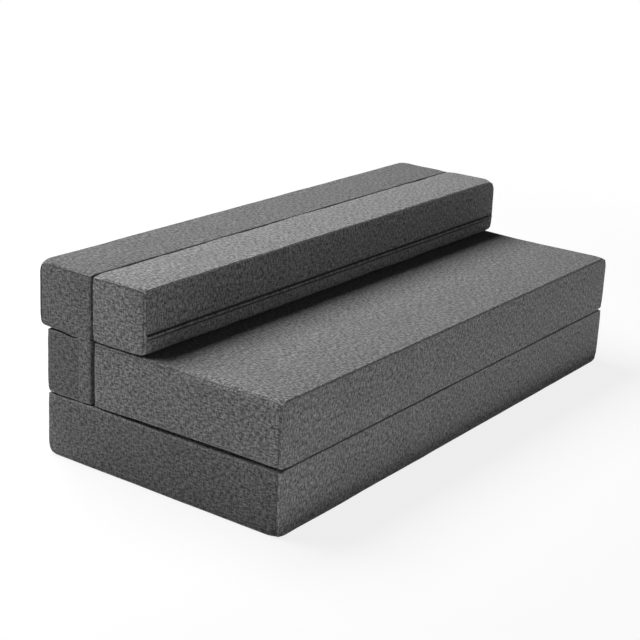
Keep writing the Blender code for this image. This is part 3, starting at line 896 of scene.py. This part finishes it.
def addStitches(name, label, level, out, profile):
    _, side, plane = zipPlace(name)
    plane -= side * placket["sunk"][name]
    radius, length, margin = placket["stitchRadius"], placket["stitchLength"], placket["stitchMargin"]
    start = -placket["reach"] + margin
    bpy.ops.object.select_all(action="DESELECT")
    bpy.ops.mesh.primitive_cylinder_add(vertices=placket["stitchSides"], radius=radius, depth=length,
                                        end_fill_type="TRIFAN", location=(start, plane + side * out, level),
                                        rotation=(0, math.pi / 2, 0))
    row = bpy.context.object
    nameIt(row, name + "_" + label)
    applyPlace()
    openMesh(row, "EDGE")
    pick(row, "edges", lambda edge: alongAxis(edge, 0))
    bpy.ops.mesh.subdivide(number_cuts=placket["stitchCuts"])
    bpy.ops.mesh.select_mode(type="VERT")
    pick(row, "verts", lambda vert: abs(vert.co.x - start) > length / 2 * placket["stitchEnd"])
    bpy.ops.transform.translate(value=(0, -side * radius * placket["stitchBow"], 0))
    closeMesh()
    repeat = row.modifiers.new("repeat", "ARRAY")
    repeat.use_relative_offset = False
    repeat.use_constant_offset = True
    repeat.constant_offset_displace = (placket["stitchPitch"], 0, 0)
    repeat.count = int((2 * placket["reach"] - 2 * margin) / placket["stitchPitch"])
    applyModifiers(row)
    follow(row, profile)
    row.data.materials.append(threadLook)
    return row


# Tabs on the riser's ends, which run up into the end cloth of the back above with a rounded inner corner
tab = {
    "thickness": 0.0014,
    "bottom": 0.190,
    "top": 0.3760,
    "width": (0.2292, 0.2710),  # Y of its front and rear edge
    "fillet": 0.020,
    "seam": 0.3705,  # height at which riser and back meet
    "halfSlab": 0.01,  # of the slab that it is made from
    "pieces": (60, 14),  # cuts along Z and Y
    "onRiser": (0.1925, 0.3685),  # heights between which it takes the riser's surface
    "onBack": 0.3725,  # and from which it takes the back's
    "leastY": 0.2305,
    "change": (0.366, 0.008),  # height at which the one takes over from the other, and the run it takes
    "rimWidth": 0.003,
    "rimShare": 0.4,  # of the thickness at the rim
    "rimSlope": 0.04,
    "topShare": 0.7,  # of the thickness that is lost at the top
    "underside": 0.0001,
}


def addTab(riser, back, word):
    sign = -1 if word == "left" else 1
    front, rear = tab["width"]
    fillet, slope = tab["fillet"], tab["rimSlope"]
    riserLow, riserHigh = tab["onRiser"]
    changeFrom, changeRun = tab["change"]
    piece = addCube("riser_tab_cloth_" + word, (-tab["halfSlab"], front, tab["bottom"]),
                    (tab["halfSlab"], rear, tab["top"]))
    openMesh(piece, "EDGE")
    for axis, cuts in zip((2, 1), tab["pieces"]):
        pick(piece, "edges", lambda edge: alongAxis(edge, axis))
        bpy.ops.mesh.subdivide(number_cuts=cuts)
    closeMesh()

    def surface(cover, y, z):
        return cover.ray_cast(Vector((sign * rayStart, y, z)), Vector((-sign, 0, 0)))[1].x * sign

    for vertex in piece.data.vertices:
        across, up = (vertex.co.y - front) / (rear - front), vertex.co.z
        edge = min(up - tab["bottom"], across * slope, (1 - across) * slope)
        rise = min(max(up - (tab["seam"] - fillet), 0.0), fillet)
        vertex.co.y += across * (fillet - math.sqrt(fillet ** 2 - rise ** 2))
        probeY = max(vertex.co.y, tab["leastY"])
        onRiser = surface(riser, probeY, min(max(up, riserLow), riserHigh))
        onBack = surface(back, probeY, max(up, tab["onBack"]))
        share = ease((up - changeFrom) / changeRun)
        lift = tab["underside"]
        if vertex.co.x * sign > 0:
            lift = tab["thickness"] * (tab["rimShare"] + (1 - tab["rimShare"]) * ease(edge / tab["rimWidth"]))
            lift *= 1 - tab["topShare"] * share
        vertex.co.x = sign * (onRiser * (1 - share) + onBack * share + lift)
    piece.data.materials.append(endMaterials["rear_back"])
    return piece


for word in ("left", "right"):
    piece = addTab(covers["riser"], covers["rear_back"], word)
    weaveMap(piece)
    smooth(piece)
    attach(piece, "riser", "tab_cloth", "riser_tab_" + word)

lowerBed, upperShare, upperBed = placket["stitchBed"]
for blockName, cover in covers.items():
    profile = surfaceProfile(cover, blockName)
    lip = zipPlace(blockName)[0]
    cutSlot(cover, blockName)
    flap = addFlap(blockName, profile)
    lower = addStitches(blockName, "flap_stitches", lip - placket["stitchUnderLip"], lowerBed, profile)
    upper = addStitches(blockName, "slot_stitches", lip + placket["opening"] + placket["stitchOverSlot"],
                        placket["lipOut"] * placket["relief"][blockName] * upperShare + upperBed, profile)
    weaveMap(flap)
    smooth(flap)
    attach(flap, blockName, "flap_cloth", blockName + "_zip_flap")
    for row in (lower, upper):
        smooth(row)
        attach(row, blockName, "cover_cloth")

    # the end panels come off along their seams
    before = set(bpy.data.objects)
    openMesh(cover)
    cover.active_material_index = 1
    bpy.ops.object.material_slot_select()
    bpy.ops.mesh.separate(type="SELECTED")
    closeMesh()
    left = next(obj for obj in bpy.data.objects if obj not in before)
    openMesh(left)
    before = set(bpy.data.objects)
    pick(left, "faces", lambda face: face.calc_center_median().x > 0)
    bpy.ops.mesh.separate(type="SELECTED")
    closeMesh()
    right = next(obj for obj in bpy.data.objects if obj not in before)
    panels = ((left, "left"), (right, "right"))
    for panel, word in panels:
        nameIt(panel, blockName + "_end_panel_" + word)
    for piece in (cover, left, right):
        thicken(piece, coverBuild["wall"])
        weaveMap(piece)
        smooth(piece, coverBuild["smoothAngle"])
        selectOnly(piece)
        bpy.ops.object.material_slot_remove_unused()
    attach(cover, blockName, "cover_cloth", blockName + "_sleeve")
    for panel, word in panels:
        attach(panel, blockName, "end_cloth", blockName + "_end_" + word)
print("covers sewn, zips fitted")

# Cloth hinges: a strip folded in half round the axis, a leaf on each block
hinge = {"clothThickness": 0.0008, "foldRadius": 0.0009, "foldSteps": 6, "pieces": 60, "blendHalf": 0.0005}
# the block that carries each, and the side of the axis that the fold is on: 1 rear, -1 front
hingeBodies = {"seat": ("base", -1), "front_back": ("seat", 1), "riser": ("base", 1),
               "rear_back": ("riser", -1)}


def addHinge(name, side):
    low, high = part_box(name + "_hinge_strip")
    middle = (low.z + high.z) / 2
    radius, cloth = hinge["foldRadius"], hinge["clothThickness"]
    foldY = (high.y if side > 0 else low.y) - side * (radius + cloth / 2)
    leafY = low.y if side > 0 else high.y
    bpy.ops.object.select_all(action="DESELECT")
    bpy.ops.mesh.primitive_plane_add(size=1, location=(0, (foldY + leafY) / 2, middle - radius))
    strip = bpy.context.object
    nameIt(strip, name + "_hinge_cloth")
    strip.scale = (high.x - low.x, abs(foldY - leafY), 1)
    applyPlace()
    openMesh(strip, "EDGE")

    def onFold(vert):
        return abs(vert.co.y - foldY) < onPlane

    pick(strip, "edges", lambda edge: all(onFold(vert) for vert in edge.verts))
    bpy.ops.mesh.spin(steps=hinge["foldSteps"], angle=side * math.pi, center=(0, foldY, middle),
                      axis=(1, 0, 0))
    pick(strip, "edges", lambda edge: all(onFold(vert) and vert.co.z > middle for vert in edge.verts))
    bpy.ops.mesh.extrude_edges_move(TRANSFORM_OT_translate={"value": (0, leafY - foldY, 0)})
    pick(strip, "edges", lambda edge: alongAxis(edge, 0))
    bpy.ops.mesh.subdivide(number_cuts=hinge["pieces"])
    closeMesh()
    thicken(strip, cloth, 0)
    openMesh(strip)
    bpy.ops.mesh.select_all(action="SELECT")
    bpy.ops.mesh.normals_make_consistent(inside=False)
    closeMesh()
    strip.data.materials.append(hingeMaterial)
    return strip, middle


for blockName, (carrier, side) in hingeBodies.items():
    strip, middle = addHinge(blockName, side)
    weaveMap(strip)
    smooth(strip)
    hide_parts(blockName + "_hinge_strip")
    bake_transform(strip)
print("hinges folded")

# Zip tapes and sliders are the CAD model's own
for nodeName, obj in frame["nodes"].items():
    for ending, look in (("_tape", tapeLook), ("_slider", sliderLook)):
        if nodeName.endswith(ending):
            obj.data.materials.clear()
            obj.data.materials.append(look)

# Studio
studio = {
    "cameraPlace": (-3.584, -2.400, 1.701),
    "cameraYaw": 54.9,
    "cameraPitch": 18.48,
    "cameraRoll": 2.85,
    "lens": 83.4,
    "sensorWidth": 36,
    "clipEnd": 200,
    "floorSize": 80,
    "floorGrey": 0.86,
    "floorRoughness": 0.9,
    "floorSpecular": 0.1,
    "floorGlow": 0.84,  # share of plain white that the camera sees in the floor near the object
    "shadowReach": (1.6, 3.6),  # metres from the middle over which the floor turns all white
    "worldStrength": 0.025,
    # softboxes: watts, size, place and turn about X in degrees
    "top": (402.0, (4.0, 3.0), (-0.5, 2.42, 3.7), 0),
    "bounce": (5.8, (4.0, 0.9), (0.0, -0.9, 0.02), 180),  # light that comes back up from the floor in front
    "front": (48.0, (6.0, 0.9), (-1.8, -4.5, 0.45), 90),  # the pale wall low down behind the camera
}


def addCamera():
    bpy.ops.object.camera_add(location=studio["cameraPlace"])
    camera = bpy.context.object
    camera.name = "photoCamera"
    yaw, pitch, roll = (math.radians(studio[key]) for key in ("cameraYaw", "cameraPitch", "cameraRoll"))
    turn = Matrix.Rotation(-yaw, 4, "Z") @ Matrix.Rotation(math.pi / 2 - pitch, 4, "X")
    turn = turn @ Matrix.Rotation(roll, 4, "Z")
    camera.matrix_world = Matrix.Translation(studio["cameraPlace"]) @ turn
    camera.data.lens = studio["lens"]
    camera.data.sensor_width = studio["sensorWidth"]
    camera.data.clip_end = studio["clipEnd"]
    bpy.context.scene.camera = camera


# Mixes two shaders and sends the result to an output
def joinMix(tree, factor, first, second, output):
    mix = node(tree, "ShaderNodeMixShader")
    for source, socket in zip((factor, first, second), mix.inputs):
        join(tree, source, socket)
    join(tree, mix.outputs[0], tree.nodes[output].inputs["Surface"])


def addFloor():
    bpy.ops.object.select_all(action="DESELECT")
    bpy.ops.mesh.primitive_plane_add(size=studio["floorSize"], location=(0, 0, 0))
    floor = bpy.context.object
    floor.name = "studio_floor"
    made, tree, shader = nodeMaterial("whiteFloor")
    grey = studio["floorGrey"]
    shader.inputs["Base Color"].default_value = (grey, grey, grey, 1)
    shader.inputs["Roughness"].default_value = studio["floorRoughness"]
    shader.inputs["Specular IOR Level"].default_value = studio["floorSpecular"]
    glow = node(tree, "ShaderNodeEmission")
    ray = node(tree, "ShaderNodeLightPath")
    place = node(tree, "ShaderNodeTexCoord")
    reach = node(tree, "ShaderNodeVectorMath", operation="LENGTH")
    join(tree, place.outputs["Object"], reach.inputs[0])
    near = node(tree, "ShaderNodeMapRange", interpolation_type="SMOOTHSTEP")
    near.inputs["From Min"].default_value, near.inputs["From Max"].default_value = studio["shadowReach"]
    near.inputs["To Min"].default_value = studio["floorGlow"]
    join(tree, reach.outputs["Value"], near.inputs["Value"])
    share = mathNode(tree, "MULTIPLY", ray.outputs["Is Camera Ray"], near.outputs["Result"])
    joinMix(tree, share, shader.outputs[0], glow.outputs[0], "Material Output")
    floor.data.materials.append(made)


def addLights():
    world = bpy.data.worlds.new("studioWorld")
    bpy.context.scene.world = world
    world.use_nodes = True
    tree = world.node_tree
    soft = tree.nodes["Background"]
    soft.inputs["Strength"].default_value = studio["worldStrength"]
    soft.inputs["Color"].default_value = (1, 1, 1, 1)
    white = node(tree, "ShaderNodeBackground", Color=(1, 1, 1, 1), Strength=1.0)
    ray = node(tree, "ShaderNodeLightPath")
    joinMix(tree, ray.outputs["Is Camera Ray"], soft.outputs[0], white.outputs[0], "World Output")
    for label in ("top", "bounce", "front"):
        watts, size, spot, turn = studio[label]
        bpy.ops.object.light_add(type="AREA", location=spot, rotation=(math.radians(turn), 0, 0))
        light = bpy.context.object
        light.name = label + "Softbox"
        light.data.shape = "RECTANGLE"
        light.data.size, light.data.size_y = size
        light.data.energy = watts
        light.visible_camera = False


addFloor()
addLights()
addCamera()
bpy.context.scene.view_settings.view_transform = "Standard"
print("studio ready")
